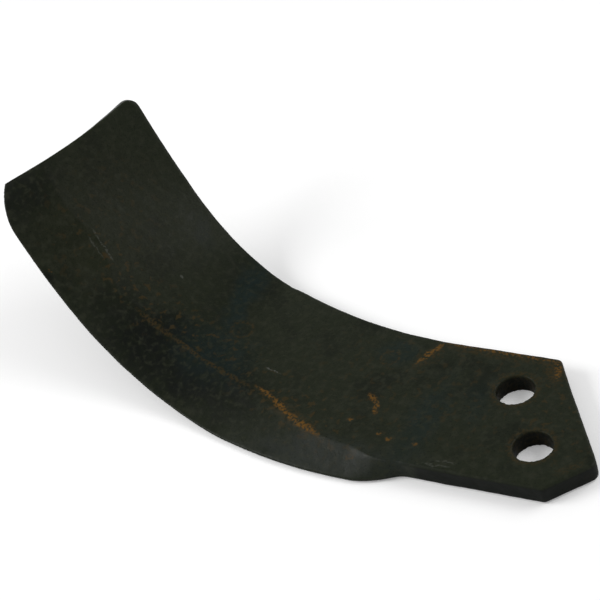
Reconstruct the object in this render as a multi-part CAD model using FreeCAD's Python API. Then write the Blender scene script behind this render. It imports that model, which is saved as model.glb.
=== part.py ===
import FreeCAD, Part
import math
import os

# Rotary tiller blade, forged and bent from one flat bar. All sizes in millimetres.
# The top face of the shank lies in z = 0 and the shank runs along +x.
# The origin is halfway between the two bolt holes.
# The outline is drawn on the flat blank and then carried onto the bent sheet.

bar_thick = 8.0
bar_width = 70.0
edge_break = 0.6

# bolt holes and the pointed end of the shank
hole_dia = 16.5
hole_pitch = 34.0
hole_slant = 33.7
end_reach = 21.5
short_reach = 39.5
short_slant = 41.9
apex_round = 3.5
end_round = 2.5

# concave edge of the blank: straight shank, one arc, then nearly straight to the tip
inner_start = -36.0
inner_radius = 249.0
inner_sweep = 20.3
inner_run = 137.0
inner_belly = 0.9

# tip, cut almost square and slightly hollow
tip_skew = 0.8
tip_sag = 3.0
tip_width = 71.0
tip_round = 5.0

# convex edge of the blank: shank, hollow, heel, two long arcs, toe
heel_x = -62.5
heel_out = 7.3
heel_radius = 35.0
hollow_radius = 11.0
edge_radius_1 = 243.0
edge_sweep_1 = 18.4
edge_radius_2 = 1414.0
edge_sweep_2 = 5.15
toe_radius = 33.5

# forged bevel on the top face, measured along the convex edge
land = 1.0
bevel_wide = 24.4
bevel_rise = 115.0
run_out = 15.0
dip_depth = 3.6
dip_at = 180.0
dip_length = 15.0
heel_fill = 3.0
heel_fill_length = 45.0
swell_height = 4.4
swell_at = 206.0
swell_length = 13.0

# the bend is a piece of a round cone: the point of the cone seen in the blank, the
# first bend line, and the angle between a bend line and the axis of the cone
cone_x = -140.75
cone_y = 118.35
bend_start = -7.3
cone_angle = 50.45
bend_span = 88.0
near_reach = 48.0
far_reach = 166.0

# trimming tools: how far they stand above and below the top face, and their depth
tall = (25.0, -33.0)
low = (12.0, -26.0)
inner_depth = 90.0
outer_depth = 60.0
tip_overrun = 0.15
bevel_depth = 40.0
bevel_overrun = 5.0
bevel_stations = 80

half = bar_width / 2
floor = -bar_thick
up = FreeCAD.Vector(0, 0, 1)
cone_tip = FreeCAD.Vector(cone_x, cone_y, 0)
start_rad = math.radians(bend_start)
cone_rad = math.radians(cone_angle)
first_line = FreeCAD.Vector(-math.sin(start_rad), -math.cos(start_rad), 0)
axis = first_line * math.cos(cone_rad) + up * math.sin(cone_rad)
swing_all = math.degrees(math.radians(bend_span) / math.sin(cone_rad))


def place(spot, h=0.0):
    """Carry a point of the blank, h above its top face, onto the bent blade."""
    dx = spot[0] - cone_x
    dy = spot[1] - cone_y
    turn = math.atan2(-dx, -dy) - start_rad
    if turn <= 0:
        return FreeCAD.Vector(spot[0], spot[1], h)
    reach = first_line * math.hypot(dx, dy) + up * h
    swing = -math.degrees(turn / math.sin(cone_rad))
    return cone_tip + FreeCAD.Rotation(axis, swing).multVec(reach)


def walk(spot, heading, radius, angle):
    """Go along an arc of the blank; a negative radius turns to the left."""
    cx = spot[0] + radius * math.sin(heading)
    cy = spot[1] - radius * math.cos(heading)
    now = heading - math.copysign(angle, radius)
    return (cx - radius * math.sin(now), cy + radius * math.cos(now)), now


def step(spot, heading, ahead, right=0.0):
    """Point ahead of a point of the blank and to its right."""
    x = spot[0] + ahead * math.cos(heading) + right * math.sin(heading)
    y = spot[1] + ahead * math.sin(heading) - right * math.cos(heading)
    return x, y


def rail(points):
    """Smooth edge through points in space."""
    curve = Part.BSplineCurve()
    curve.interpolate(points)
    return curve.toShape()


def fence(path, heights, push):
    """Solid standing square to the sheet on a path of the blank, pushed outwards."""
    top = rail([place(spot, heights[0]) for spot in path])
    foot = rail([place(spot, heights[1]) for spot in path])
    return Part.makeRuledSurface(top, foot).extrude(push)


def edges_at(solid, middle, near=0.6):
    """Edges of a solid whose middle lies at a point."""
    return [edge for edge in solid.Edges if (edge.CenterOfMass - middle).Length < near]


# concave edge, walked from the shank towards the tip, and run on past the tip
inner_rad = math.radians(inner_sweep)
inner_arc = [walk((inner_start, half), math.pi, inner_radius, inner_rad * i / 12)[0] for i in range(13)]
bend_foot, inner_head = walk((inner_start, half), math.pi, inner_radius, inner_rad)
inner_corner = step(bend_foot, inner_head, inner_run)
inner_line = []
for i in range(40):
    belly = inner_belly * math.sin(math.pi * i / 36) ** 2
    inner_line.append(step(bend_foot, inner_head, inner_run * i / 36, belly))

# tip edge from the inner corner across to the toe
tip_head = inner_head + math.pi / 2 + math.radians(tip_skew)


def tip_point(u):
    """Point of the tip edge, u running from the inner corner to the toe."""
    bow = 4 * tip_sag * u * (1 - u)
    return step(inner_corner, tip_head, tip_width * u, -bow)


# convex edge as arcs that follow each other, walked from the shank towards the toe
leave = math.acos((heel_radius - heel_out + hollow_radius) / (heel_radius + hollow_radius))
leave_x = heel_x + (heel_radius + hollow_radius) * math.sin(leave)
arcs = [(-hollow_radius, leave), (heel_radius, leave)]
arcs.append((edge_radius_1, math.radians(edge_sweep_1)))
arcs.append((edge_radius_2, math.radians(edge_sweep_2)))
lengths = [abs(radius) * angle for radius, angle in arcs]
toe_at = sum(lengths)


def convex(s):
    """Point and heading at the length s on the convex edge, toe not yet rounded."""
    spot = (leave_x, -half)
    heading = math.pi
    for i, (radius, angle) in enumerate(arcs):
        if s <= lengths[i] or i == 3:
            return walk(spot, heading, radius, s / abs(radius))
        spot, heading = walk(spot, heading, radius, angle)
        s = s - lengths[i]


def inset(s, w):
    """Point w inside the convex edge at the length s."""
    spot, heading = convex(s)
    return step(spot, heading, 0, w)


def toe_inset(s):
    """How far the rounded toe lies inside the long arc at the length s."""
    past = max(s - toe_at, 0)
    return toe_radius - math.sqrt(toe_radius ** 2 - past ** 2)


def bevel_width(s):
    """Width of the bevel, growing from the step, with a dip and a swell past the bend."""
    wide = bevel_wide * math.sin(math.pi / 2 * min(s / bevel_rise, 1))
    dip = dip_depth * math.exp(-((s - dip_at) / dip_length) ** 2)
    swell = swell_height * math.exp(-((s - swell_at) / swell_length) ** 2)
    fill = heel_fill * math.sin(math.pi * min(s / heel_fill_length, 1)) ** 2
    return wide - dip + swell + fill


def bevel_drop(s):
    """Depth of the bevel at the edge, running out to nothing at the step."""
    return (bar_thick - land) * math.sin(math.pi / 2 * min(s / run_out, 1))


# sheet before it is trimmed: flat shank with its pointed end, plus a sector of the cone
near = cone_tip + first_line * near_reach
far = cone_tip + first_line * far_reach
hole_rad = math.radians(hole_slant)
short_rad = math.radians(-short_slant)
long_side = (math.cos(hole_rad), math.sin(hole_rad), end_reach)
short_side = (math.cos(short_rad), math.sin(short_rad), short_reach)
cross = long_side[0] * short_side[1] - long_side[1] * short_side[0]
apex_x = (long_side[2] * short_side[1] - short_side[2] * long_side[1]) / cross
apex_y = (long_side[0] * short_side[2] - short_side[0] * long_side[2]) / cross
long_x = (end_reach - long_side[1] * half) / long_side[0]
short_x = (short_reach + short_side[1] * half) / short_side[0]
blank = [near, far, FreeCAD.Vector(leave_x - 15, far.y, 0), FreeCAD.Vector(leave_x, -half, 0)]
blank = blank + [FreeCAD.Vector(short_x, -half, 0), FreeCAD.Vector(apex_x, apex_y, 0)]
blank = blank + [FreeCAD.Vector(long_x, half, 0), FreeCAD.Vector(inner_start, half, 0)]
blank = blank + [FreeCAD.Vector(inner_start, near.y, 0), near]
shank = Part.Face(Part.makePolygon(blank)).extrude(up * floor)
strip = Part.makePolygon([near, far, far + up * floor, near + up * floor, near])
sector = Part.Face(strip).revolve(cone_tip, axis, -swing_all)
blade = shank.fuse(sector).removeSplitter()

# trim the concave edge
inner_push = FreeCAD.Vector(0.25, 0.96, 0) * inner_depth
blade = blade.cut(fence(inner_arc, tall, inner_push).fuse(fence(inner_line, tall, inner_push)))

# trim the convex edge, arc by arc, and the rounded toe
outer_push = FreeCAD.Vector(-0.3, -0.95, -0.05) * outer_depth
toe_end = toe_radius * 0.85
toe_path = [inset(toe_at + toe_end * i / 16, toe_inset(toe_at + toe_end * i / 16)) for i in range(17)]
outside = fence(toe_path, low, outer_push)
starts = [0, lengths[0], lengths[0] + lengths[1], toe_at]
for i, count in enumerate((8, 8, 50)):
    span = starts[i + 1] - starts[i]
    path = [convex(starts[i] + span * j / count)[0] for j in range(count + 1)]
    outside = outside.fuse(fence(path, low, outer_push))
blade = blade.cut(outside)

# trim the tip
middle = tip_point(0.5)
tip_push = place(step(middle, inner_head, inner_depth)) - place(middle)
tip_path = [tip_point(-tip_overrun + (1 + 2 * tip_overrun) * i / 16) for i in range(17)]
blade = blade.cut(fence(tip_path, tall, tip_push))

# round the standing corners of the pointed end and of the tip
mid_level = up * (floor / 2)
blade = blade.makeFillet(apex_round, edges_at(blade, FreeCAD.Vector(apex_x, apex_y, 0) + mid_level))
end_edges = edges_at(blade, FreeCAD.Vector(short_x, -half, 0) + mid_level)
end_edges = end_edges + edges_at(blade, FreeCAD.Vector(long_x, half, 0) + mid_level)
blade = blade.makeFillet(end_round, end_edges)
blade = blade.makeFillet(tip_round, edges_at(blade, place(inner_corner, floor / 2)))

# break the sharp edges all round, on the top face and on the underside
blade.fixTolerance(0.001)
end_rims = []
for level in (0, floor):
    spot = Part.Vertex(end_reach * long_side[0], end_reach * long_side[1], level)
    end_rims = end_rims + [edge for edge in blade.Edges if edge.distToShape(spot)[0] < 0.01]
blade = blade.makeChamfer(edge_break, end_rims)

# forge the bevel: rulings from the ridge down to the edge, drawn out at both ends
ridge = []
brink = []
for i in range(bevel_stations + 1):
    s = (toe_at + toe_radius * 0.9) * i / bevel_stations
    probe = max(s, 0.5)
    wide = bevel_width(probe) - toe_inset(s)
    drop = bevel_drop(probe)
    slope = math.hypot(wide, drop)
    top_w = toe_inset(s) + wide * (s / probe) + wide / slope * bevel_overrun
    low_w = toe_inset(s) - wide / slope * bevel_overrun
    ridge.append(place(inset(s, top_w), drop / slope * bevel_overrun))
    brink.append(place(inset(s, low_w), -drop * (s / probe) - drop / slope * bevel_overrun))
bevel_push = FreeCAD.Vector(0.45, -0.45, 0.77) * bevel_depth
blade = blade.cut(Part.makeRuledSurface(rail(ridge), rail(brink)).extrude(bevel_push))

# drill the two bolt holes
for side in (-1, 1):
    x = -side * hole_pitch / 2 * math.sin(hole_rad)
    y = side * hole_pitch / 2 * math.cos(hole_rad)
    drill = Part.makeCylinder(hole_dia / 2, bar_thick + 4, FreeCAD.Vector(x, y, floor - 2), up)
    blade = blade.cut(drill)

os.makedirs("parts", exist_ok=True)
blade.exportStep("parts/blade.step")
print("solids", len(blade.Solids), "volume", round(blade.Volume), "valid", blade.isValid())
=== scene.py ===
import bpy
import math
from mathutils import Matrix, Vector


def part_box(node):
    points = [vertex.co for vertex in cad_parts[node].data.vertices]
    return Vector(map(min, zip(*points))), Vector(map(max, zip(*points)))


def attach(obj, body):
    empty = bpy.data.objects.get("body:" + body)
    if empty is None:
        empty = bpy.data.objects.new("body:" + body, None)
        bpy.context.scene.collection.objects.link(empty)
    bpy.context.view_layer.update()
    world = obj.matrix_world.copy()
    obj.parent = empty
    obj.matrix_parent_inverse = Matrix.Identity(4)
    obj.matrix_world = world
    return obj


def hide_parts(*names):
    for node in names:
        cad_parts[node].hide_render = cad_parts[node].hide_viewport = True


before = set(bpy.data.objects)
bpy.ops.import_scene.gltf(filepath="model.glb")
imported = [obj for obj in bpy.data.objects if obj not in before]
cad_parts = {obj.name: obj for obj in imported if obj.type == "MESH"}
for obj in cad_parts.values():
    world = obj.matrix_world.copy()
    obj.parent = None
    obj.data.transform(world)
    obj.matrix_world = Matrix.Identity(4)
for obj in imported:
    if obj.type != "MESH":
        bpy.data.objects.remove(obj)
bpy.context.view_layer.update()        # bodies, nodes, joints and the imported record
bladeLow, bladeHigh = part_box("blade")
print("frame loaded", [round(v * 1000, 1) for v in bladeHigh - bladeLow])


millimetres = 1000        # in a metre


# small helpers
def selectOnly(piece):
    bpy.ops.object.select_all(action="DESELECT")
    piece.select_set(True)
    bpy.context.view_layer.objects.active = piece


def applyModifier(piece, kind, **settings):
    selectOnly(piece)
    bpy.ops.object.modifier_add(type=kind)
    modifier = piece.modifiers[-1]
    for key, value in settings.items():
        setattr(modifier, key, value)
    bpy.ops.object.modifier_apply(modifier=modifier.name)


# camera, a little above and in front of the shank, rolled so that the blade lies slanted
cameraSetup = {
    "place": (0.2856, -0.4688, 0.5186),
    "aim": (-0.1283, 0.0478, 0.0),
    "roll": -18.2,
    "lens": 112.5,
    "sensor": 36,
    "near": 0.01,
}


def addCamera(setup):
    bpy.ops.object.camera_add(location=setup["place"])
    camera = bpy.context.object
    camera.name = "viewCamera"
    look = (Vector(setup["aim"]) - Vector(setup["place"])).to_track_quat("-Z", "Y").to_matrix()
    roll = Matrix.Rotation(math.radians(setup["roll"]), 3, "Z")
    camera.rotation_euler = (look @ roll).to_euler()
    camera.data.lens = setup["lens"]
    camera.data.sensor_width = setup["sensor"]
    camera.data.clip_start = setup["near"]
    bpy.context.scene.camera = camera


addCamera(cameraSetup)

# plain pale floor under the shank, soft boxes at both sides, white all round near the horizon
floorSetup = {"size": 8.0, "colour": (0.86, 0.86, 0.86, 1), "roughness": 0.9, "glow": 0.22, "gap": 0.0006}
lampSetup = {
    "left": {"place": (-0.95, -0.42, 0.72), "size": (0.6, 0.5), "power": 8.0},
    "right": {"place": (0.65, 0.55, 0.75), "size": (0.8, 0.6), "power": 6.0},
}
lampAim = (-0.12, 0.03, 0.02)      # the middle of the blade
worldSetup = {"light": 0.4, "seen": 1.0, "horizon": 0.6, "overhead": 0.1, "fade": (0.1, 0.9)}


def addFloor(setup):
    bpy.ops.mesh.primitive_plane_add(size=setup["size"], location=(0, 0, bladeLow.z - setup["gap"]))
    floor = bpy.context.object
    floor.name = "floorSheet"
    material = bpy.data.materials.new("paleFloor")
    material.use_nodes = True
    nodes = material.node_tree.nodes
    links = material.node_tree.links
    shader = nodes["Principled BSDF"]
    shader.inputs["Base Color"].default_value = setup["colour"]
    shader.inputs["Roughness"].default_value = setup["roughness"]
    shader.inputs["Emission Color"].default_value = (1, 1, 1, 1)
    path = nodes.new("ShaderNodeLightPath")
    glow = nodes.new("ShaderNodeMath")
    glow.operation = "MULTIPLY"
    glow.inputs[1].default_value = setup["glow"]
    links.new(path.outputs["Is Camera Ray"], glow.inputs[0])
    links.new(glow.outputs[0], shader.inputs["Emission Strength"])
    floor.data.materials.append(material)


def addLamps(setup, aim):
    for name, lamp in setup.items():
        bpy.ops.object.light_add(type="AREA", location=lamp["place"])
        light = bpy.context.object
        light.name = name + "Softbox"
        light.rotation_euler = (Vector(aim) - Vector(lamp["place"])).to_track_quat("-Z", "Y").to_euler()
        light.data.shape = "RECTANGLE"
        light.data.size = lamp["size"][0]
        light.data.size_y = lamp["size"][1]
        light.data.energy = lamp["power"]


def setWorld(setup):
    world = bpy.data.worlds.new("studioWorld")
    bpy.context.scene.world = world
    world.use_nodes = True
    nodes = world.node_tree.nodes
    links = world.node_tree.links
    back = nodes["Background"]
    back.inputs["Color"].default_value = (1, 1, 1, 1)
    back.inputs["Strength"].default_value = setup["light"]
    seen = nodes.new("ShaderNodeBackground")
    seen.inputs["Color"].default_value = (1, 1, 1, 1)
    seen.inputs["Strength"].default_value = setup["seen"]
    mirrored = nodes.new("ShaderNodeBackground")
    mirrored.inputs["Color"].default_value = (1, 1, 1, 1)
    place = nodes.new("ShaderNodeTexCoord")
    height = nodes.new("ShaderNodeSeparateXYZ")
    fade = nodes.new("ShaderNodeMapRange")
    fade.interpolation_type = "SMOOTHSTEP"
    fade.inputs["From Min"].default_value = setup["fade"][0]
    fade.inputs["From Max"].default_value = setup["fade"][1]
    fade.inputs["To Min"].default_value = setup["horizon"]
    fade.inputs["To Max"].default_value = setup["overhead"]
    links.new(place.outputs["Generated"], height.inputs[0])
    links.new(height.outputs["Z"], fade.inputs["Value"])
    links.new(fade.outputs[0], mirrored.inputs["Strength"])
    path = nodes.new("ShaderNodeLightPath")
    toCamera = nodes.new("ShaderNodeMixShader")
    toGloss = nodes.new("ShaderNodeMixShader")
    links.new(path.outputs["Is Glossy Ray"], toGloss.inputs[0])
    links.new(back.outputs[0], toGloss.inputs[1])
    links.new(mirrored.outputs[0], toGloss.inputs[2])
    links.new(path.outputs["Is Camera Ray"], toCamera.inputs[0])
    links.new(toGloss.outputs[0], toCamera.inputs[1])
    links.new(seen.outputs[0], toCamera.inputs[2])
    links.new(toCamera.outputs[0], nodes["World Output"].inputs["Surface"])


addFloor(floorSetup)
addLamps(lampSetup, lampAim)
setWorld(worldSetup)
bpy.context.scene.view_settings.view_transform = "Standard"
print("stage ready")

# the bend as it was made: the flat bar is rolled round a cone, so a point can be laid
# back on the flat bar, worked there, and rolled up again
bend = {"coneX": -0.14075, "coneY": 0.11835, "start": -7.3, "angle": 50.45}
bendStart = math.radians(bend["start"])
bendAngle = math.radians(bend["angle"])
coneTip = Vector((bend["coneX"], bend["coneY"], 0))
upward = Vector((0, 0, 1))
firstLine = Vector((-math.sin(bendStart), -math.cos(bendStart), 0))
coneAxis = firstLine * math.cos(bendAngle) + upward * math.sin(bendAngle)
radial = (firstLine - coneAxis * math.cos(bendAngle)).normalized()
sideways = coneAxis.cross(radial)
growing = Vector((-math.cos(bendStart), math.sin(bendStart), 0))


def layFlat(point):
    arm = point - coneTip
    if arm.dot(growing) <= 0:
        return point.copy()
    along = arm.dot(coneAxis)
    out = math.hypot(arm.dot(radial), arm.dot(sideways))
    turn = -math.atan2(arm.dot(sideways), arm.dot(radial)) * math.sin(bendAngle) + bendStart
    reach = along * math.cos(bendAngle) + out * math.sin(bendAngle)
    height = along * math.sin(bendAngle) - out * math.cos(bendAngle)
    return Vector((coneTip.x - reach * math.sin(turn), coneTip.y - reach * math.cos(turn), height))


def rollUp(point):
    dx = point.x - coneTip.x
    dy = point.y - coneTip.y
    turn = math.atan2(-dx, -dy) - bendStart
    if turn <= 0:
        return point.copy()
    arm = firstLine * math.hypot(dx, dy) + upward * point.z
    return coneTip + Matrix.Rotation(-turn / math.sin(bendAngle), 3, coneAxis) @ arm


# depths and sizes in metres; keep is the share of faces left at the end
bladeSetup = {
    "weld": 0.000002,
    "voxel": 0.0005,
    "soften": 3,
    "waves": {"size": 0.045, "depth": 0.00035},
    "dents": {"size": 0.011, "depth": 0.00012},
    "scale": {"size": 0.0028, "depth": 0.00006},
    "swell": 0.00022,
    "keep": 0.45,
}


def moveVertices(piece, rule):
    for vertex in piece.data.vertices:
        vertex.co = rule(vertex.co)
    piece.data.update()


def roughen(piece, name, size, depth):
    texture = bpy.data.textures.new(name, "CLOUDS")
    texture.noise_scale = size
    texture.noise_depth = 2
    applyModifier(piece, "DISPLACE", texture=texture, texture_coords="LOCAL",
                  mid_level=0.5, strength=depth * 2)


def makeBlade(setup):
    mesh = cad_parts["blade"].data.copy()
    mesh.name = "bladeForging"
    mesh.materials.clear()
    piece = bpy.data.objects.new("bladeForging", mesh)
    bpy.context.scene.collection.objects.link(piece)
    selectOnly(piece)
    bpy.ops.object.mode_set(mode="EDIT")
    bpy.ops.mesh.select_all(action="SELECT")
    bpy.ops.mesh.remove_doubles(threshold=setup["weld"])
    bpy.ops.mesh.normals_make_consistent(inside=False)
    bpy.ops.object.mode_set(mode="OBJECT")
    moveVertices(piece, layFlat)
    applyModifier(piece, "REMESH", mode="VOXEL", voxel_size=setup["voxel"], adaptivity=0)
    print("remeshed", len(piece.data.vertices))
    applyModifier(piece, "SMOOTH", factor=0.5, iterations=setup["soften"])
    for name in ("waves", "dents", "scale"):
        roughen(piece, name + "Cloud", setup[name]["size"], setup[name]["depth"])
    applyModifier(piece, "DISPLACE", mid_level=0.0, strength=setup["swell"])
    applyModifier(piece, "DECIMATE", ratio=setup["keep"])
    places = piece.data.attributes.new("flatPlace", "FLOAT_VECTOR", "POINT")
    for i, vertex in enumerate(piece.data.vertices):
        places.data[i].vector = vertex.co * millimetres
    moveVertices(piece, rollUp)
    selectOnly(piece)
    bpy.ops.object.shade_smooth()
    print("blade mesh", len(piece.data.polygons), "faces")
    return piece


blade = makeBlade(bladeSetup)


# the steel's finish and some painted shade, in millimetres on the flat bar, so that every mark follows
# the bend;
# a mark is (x, y, half length, half width, turn in degrees, strength)
finish = {
    "scale": (0.0150, 0.0184, 0.0104, 1),
    # the dark colour serves both darker scale and painted shade
    "darkScaleAndShade": (0.0048, 0.0062, 0.0046, 1),
    "scalePale": (0.0235, 0.0260, 0.0160, 1),
    "olive": (0.0160, 0.0178, 0.0088, 1),
    "teal": (0.0090, 0.0180, 0.0170, 1),
    "greyTeal": (0.0210, 0.0250, 0.0225, 1),
    "brown": (0.0400, 0.0270, 0.0095, 1),
    "rust": (0.1150, 0.0560, 0.0105, 1),
    "bare": (0.0750, 0.0780, 0.0680, 1),
    "roughness": (0.36, 0.54),
    "rustRoughness": 0.3,
    "specular": 0.10,
    "bump": {"size": 0.9, "strength": 0.5, "depth": 0.00012},
}
marks = {
    "olive": [(-228, 42, 36, 34, -20, 0.6), (-229, 20, 18, 7, -25, 0.7), (-200, 50, 22, 30, 0, 0.35)],
    "darkScaleAndShade": [
        (-164, -3, 46, 17, -16, 1.0),    # painted shade on the bevel round the bend
        (-156, 44, 13, 44, 4, 0.40),     # painted shade on the face just past the bend's first line
        (-266, 32, 12, 18, -30, 0.75),   # painted shade on the toe
        (-236, 8, 3, 2, -30, 0.9),       # the nick in the cutting edge
    ],
    "teal": [(-154, 42, 6, 24, 4, 0.75), (-150, 5, 20, 14, -16, 0.6), (-40, -10, 8, 22, 0, 0.55),
             (-67, 25, 9, 6, 0, 0.6), (-22, 4, 6, 12, 0, 0.35)],
    "greyTeal": [(-74, -34, 38, 8, 0, 0.55), (-187, 63, 10, 5, -30, 0.5)],
    "brown": [
        (-181, 9, 12, 1.2, -15, 0.75), (-162, 3.5, 9, 1.1, -18, 0.8), (-140, -3.5, 17, 1.1, -17, 0.7),
        (-63, -35, 2.6, 1.2, 0, 0.8), (-24, 32.2, 26, 2.4, -1, 0.55), (-53, 26, 9, 3.2, 62, 0.55),
        (-96, -21, 18, 3.4, -27, 0.5), (28, -22, 6, 2, 40, 0.4), (2, 29, 9, 4, -67, 0.7),
    ],
    "rust": [
        (-115, -10.5, 6.5, 1.1, -27, 0.85), (-105, -16.5, 7, 1.4, -35, 1.0),
        (-91.5, -23.5, 11, 1.5, -22, 1.0),
        (-53.5, 27.5, 8, 1.3, 62, 0.9), (-22, 33.6, 25, 0.9, -1, 0.75), (3.5, 28.5, 5, 1.3, -67, 0.85),
        (-67, -3, 3.8, 1.3, -34, 0.9), (-63, -8, 3.8, 1.3, -72, 0.9),
        (-71, -17, 1.4, 1.1, 0, 0.8), (-50, -24, 1.5, 1.1, 20, 0.8), (-38, -24, 1.2, 1.0, 0, 0.7),
        (-55, -22, 1.1, 0.9, 0, 0.7), (-236, 9.5, 0.9, 0.7, 0, 0.9),
    ],
    "bare": [
        (-118.5, 3, 3.8, 0.35, -16, 0.8), (-222, 31.5, 9, 0.45, -25, 0.5), (-224, 29, 6, 0.35, -25, 0.4),
        (-25, -33, 7, 0.5, 4, 0.4), (-22, -30.5, 5, 0.4, 4, 0.35), (-184, 38, 1.0, 0.8, 0, 0.6),
    ],
}
# stains left in rings: (x, y, radius, half width, strength), the last two round the bolt holes
rings = [(-70, 21, 4.0, 0.7, 0.6), (-145, 23, 5.0, 0.8, 0.6),
         (9.4, -14.1, 9.4, 1.3, 0.6), (-9.4, 14.1, 9.4, 1.3, 0.6)]
# where loose brown specks are scattered
speckled = [(-190, 20, 60, 12, -14, 1.0), (-100, -14, 40, 12, -22, 0.9), (-40, 10, 60, 34, 0, 0.45),
            (16, 10, 22, 30, 0, 0.8), (-226, 40, 24, 30, 0, 0.5)]
# how soft the border of each kind of mark is
borders = {"tone": 0.6, "specks": 0.5, "brown": 0.45, "rust": 0.4, "bare": 0.4, "ring": 1.6}
# the side walls of the shank get painted shade, darkened from just under the rim down
wallShadeSetup = {"top": -0.3, "below": -1.3, "from": -36.0, "whole": -31.0, "strength": 0.95}


def mathNode(tree, operation, first, second):
    node = tree.nodes.new("ShaderNodeMath")
    node.operation = operation
    for socket, value in zip(node.inputs, (first, second)):
        if isinstance(value, (int, float)):
            socket.default_value = value
        else:
            tree.links.new(value, socket)
    return node.outputs[0]


def ramp(tree, value, low, high, toLow=0.0, toHigh=1.0):
    node = tree.nodes.new("ShaderNodeMapRange")
    node.interpolation_type = "SMOOTHSTEP"
    for name, number in zip(("From Min", "From Max", "To Min", "To Max"), (low, high, toLow, toHigh)):
        node.inputs[name].default_value = number
    tree.links.new(value, node.inputs["Value"])
    return node.outputs[0]


def noise(tree, place, scale, detail=3.0, colour=False):
    node = tree.nodes.new("ShaderNodeTexNoise")
    node.inputs["Scale"].default_value = scale
    node.inputs["Detail"].default_value = detail
    tree.links.new(place, node.inputs["Vector"])
    return node.outputs["Color" if colour else "Fac"]


def wander(tree, place, scale, reach):
    drift = tree.nodes.new("ShaderNodeVectorMath")
    drift.operation = "MULTIPLY_ADD"
    tree.links.new(noise(tree, place, scale, colour=True), drift.inputs[0])
    drift.inputs[1].default_value = (reach, reach, 0)
    drift.inputs[2].default_value = (-reach / 2, -reach / 2, 0)
    total = tree.nodes.new("ShaderNodeVectorMath")
    total.operation = "ADD"
    tree.links.new(place, total.inputs[0])
    tree.links.new(drift.outputs[0], total.inputs[1])
    return total.outputs[0]


def distance(tree, place, x, y, halfLength, halfWidth, turn):
    node = tree.nodes.new("ShaderNodeMapping")
    node.vector_type = "TEXTURE"
    node.inputs["Location"].default_value = (x, y, 0)
    node.inputs["Rotation"].default_value = (0, 0, math.radians(turn))
    node.inputs["Scale"].default_value = (halfLength, halfWidth, millimetres)
    tree.links.new(place, node.inputs["Vector"])
    length = tree.nodes.new("ShaderNodeVectorMath")
    length.operation = "LENGTH"
    tree.links.new(node.outputs[0], length.inputs[0])
    return length.outputs["Value"]


def mixed(tree, under, colour, mask):
    node = tree.nodes.new("ShaderNodeMix")
    node.data_type = "RGBA"
    tree.links.new(mask, node.inputs[0])
    if isinstance(under, tuple):
        node.inputs[6].default_value = under
    else:
        tree.links.new(under, node.inputs[6])
    node.inputs[7].default_value = colour
    return node.outputs[2]


def markMask(tree, place, spots, soft):
    total = None
    for x, y, halfLength, halfWidth, turn, strength in spots:
        away = distance(tree, place, x, y, halfLength, halfWidth, turn)
        one = ramp(tree, away, 1 - soft, 1 + soft, strength, 0.0)
        total = one if total is None else mathNode(tree, "MAXIMUM", total, one)
    return total


def ringMask(tree, place):
    total = None
    for x, y, radius, halfWidth, strength in rings:
        away = distance(tree, place, x, y, 1, 1, 0)
        gap = mathNode(tree, "ABSOLUTE", mathNode(tree, "SUBTRACT", away, radius), 0)
        one = ramp(tree, gap, 0.0, halfWidth * borders["ring"], strength, 0.0)
        total = one if total is None else mathNode(tree, "MAXIMUM", total, one)
    return total


# mask of painted shade on the shank's side walls
def shankWallShade(tree, place):
    parts = tree.nodes.new("ShaderNodeSeparateXYZ")
    tree.links.new(place, parts.inputs[0])
    low = ramp(tree, parts.outputs["Z"], wallShadeSetup["below"], wallShadeSetup["top"], 1.0, 0.0)
    onShank = ramp(tree, parts.outputs["X"], wallShadeSetup["from"], wallShadeSetup["whole"], 0.0, 1.0)
    return mathNode(tree, "MULTIPLY", mathNode(tree, "MULTIPLY", low, onShank), wallShadeSetup["strength"])


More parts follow.
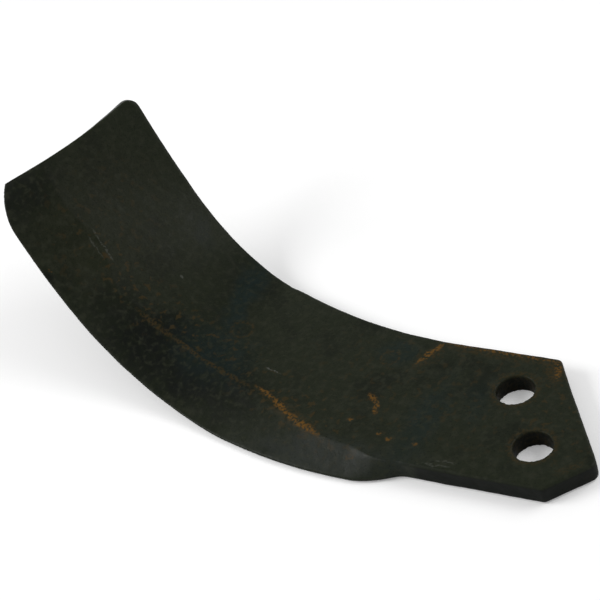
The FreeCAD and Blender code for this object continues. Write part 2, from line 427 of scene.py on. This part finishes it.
def makeSteel():
    material = bpy.data.materials.new("quenchedSteel")
    material.use_nodes = True
    tree = material.node_tree
    shader = tree.nodes["Principled BSDF"]
    flat = tree.nodes.new("ShaderNodeAttribute")
    flat.attribute_name = "flatPlace"
    place = flat.outputs["Vector"]
    broad = wander(tree, place, 0.06, 18)
    near = wander(tree, place, 0.35, 2.6)
    cloudy = noise(tree, broad, 0.035, 4)
    mottle = noise(tree, place, 0.22, 5)
    grain = noise(tree, place, 1.6, 3)
    fleck = noise(tree, near, 0.42, 6)
    broken = ramp(tree, noise(tree, place, 0.8, 4), 0.38, 0.60)

    colour = mixed(tree, finish["scale"], finish["darkScaleAndShade"], ramp(tree, cloudy, 0.5, 0.68, 0.0, 0.5))
    colour = mixed(tree, colour, finish["scalePale"], ramp(tree, mottle, 0.5, 0.72, 0.0, 0.7))
    # tone patches: the steel's own tint, except the dark marks on the bend's bevel, past the bend's first
    # line and at the toe, which are painted shade
    for name in ("olive", "greyTeal", "darkScaleAndShade", "teal"):
        soft = markMask(tree, broad, marks[name], borders["tone"])
        patchyTintAndShade = mathNode(tree, "MULTIPLY", soft, ramp(tree, mottle, 0.3, 0.6, 0.6, 1.0))
        colour = mixed(tree, colour, finish[name], patchyTintAndShade)
    colour = mixed(tree, colour, finish["darkScaleAndShade"], ramp(tree, grain, 0.54, 0.70, 0.0, 0.6))
    colour = mixed(tree, colour, finish["scalePale"], ramp(tree, fleck, 0.46, 0.74, 0.0, 0.7))
    # painted shade on the shank's side walls
    colour = mixed(tree, colour, finish["darkScaleAndShade"], shankWallShade(tree, place))
    rim = tree.nodes.new("ShaderNodeNewGeometry").outputs["Pointiness"]
    rubbed = mathNode(tree, "MULTIPLY", ramp(tree, rim, 0.53, 0.60, 0.0, 0.5), broken)
    colour = mixed(tree, colour, finish["greyTeal"], rubbed)
    browned = markMask(tree, near, marks["brown"], borders["brown"])
    stain = mathNode(tree, "MAXIMUM", browned, ringMask(tree, near))
    stain = mathNode(tree, "MULTIPLY", stain, broken)
    specks = ramp(tree, noise(tree, near, 0.3, 5), 0.55, 0.66, 0.0, 0.7)
    specks = mathNode(tree, "MULTIPLY", specks, markMask(tree, broad, speckled, borders["specks"]))
    stain = mathNode(tree, "MAXIMUM", stain, specks)
    colour = mixed(tree, colour, finish["brown"], stain)
    orange = mathNode(tree, "MULTIPLY", markMask(tree, near, marks["rust"], borders["rust"]), broken)
    colour = mixed(tree, colour, finish["rust"], orange)
    scratch = mathNode(tree, "MULTIPLY", markMask(tree, near, marks["bare"], borders["bare"]), broken)
    colour = mixed(tree, colour, finish["bare"], scratch)
    tree.links.new(colour, shader.inputs["Base Color"])

    gloss = ramp(tree, mottle, 0.3, 0.7, *finish["roughness"])
    gloss = mathNode(tree, "ADD", gloss, mathNode(tree, "MULTIPLY", orange, finish["rustRoughness"]))
    tree.links.new(gloss, shader.inputs["Roughness"])
    shader.inputs["Specular IOR Level"].default_value = finish["specular"]
    bump = tree.nodes.new("ShaderNodeBump")
    bump.inputs["Strength"].default_value = finish["bump"]["strength"]
    bump.inputs["Distance"].default_value = finish["bump"]["depth"]
    tree.links.new(noise(tree, place, finish["bump"]["size"], 4), bump.inputs["Height"])
    tree.links.new(bump.outputs[0], shader.inputs["Normal"])
    return material


blade.data.materials.append(makeSteel())
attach(blade, "root")
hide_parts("blade")
